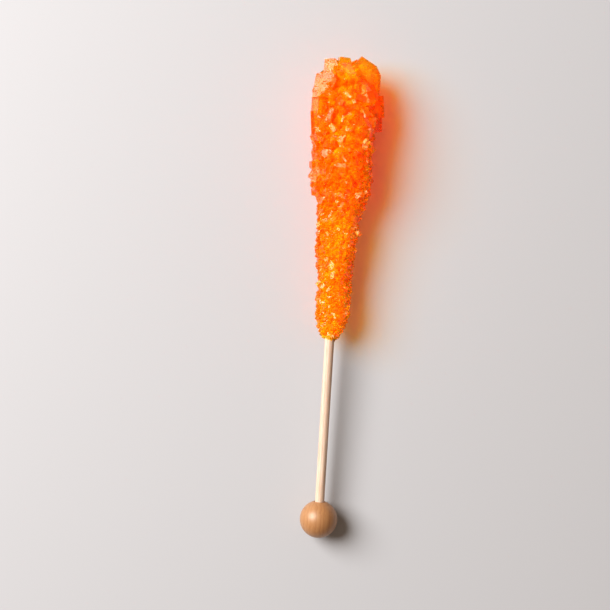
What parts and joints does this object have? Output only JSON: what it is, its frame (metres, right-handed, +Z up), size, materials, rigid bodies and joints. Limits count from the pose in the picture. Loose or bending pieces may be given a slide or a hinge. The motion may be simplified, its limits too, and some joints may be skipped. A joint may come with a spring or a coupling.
{
  "type": "rock candy stick",
  "caption": "Orange rock sugar crystals grown round a thin wooden dowel with a turned ball handle, lying on its side.",
  "frame": {"origin": "middle of the footprint, on the surface that the stick lies on", "axes": "+Z up, +Y along the dowel from the ball towards the candy, seen from above with +X to the right"},
  "size_m": [0.0252, 0.1652, 0.0239],
  "materials": {
    "sugar_crystal": "clear orange crystal facets",
    "birch": "bare",
    "lacquered_birch": "clear lacquer"
  },
  "bodies": {
    "root": {"candy": "sugar_crystal", "dowel": "birch", "ball": "lacquered_birch"}
  },
  "joints": []
}
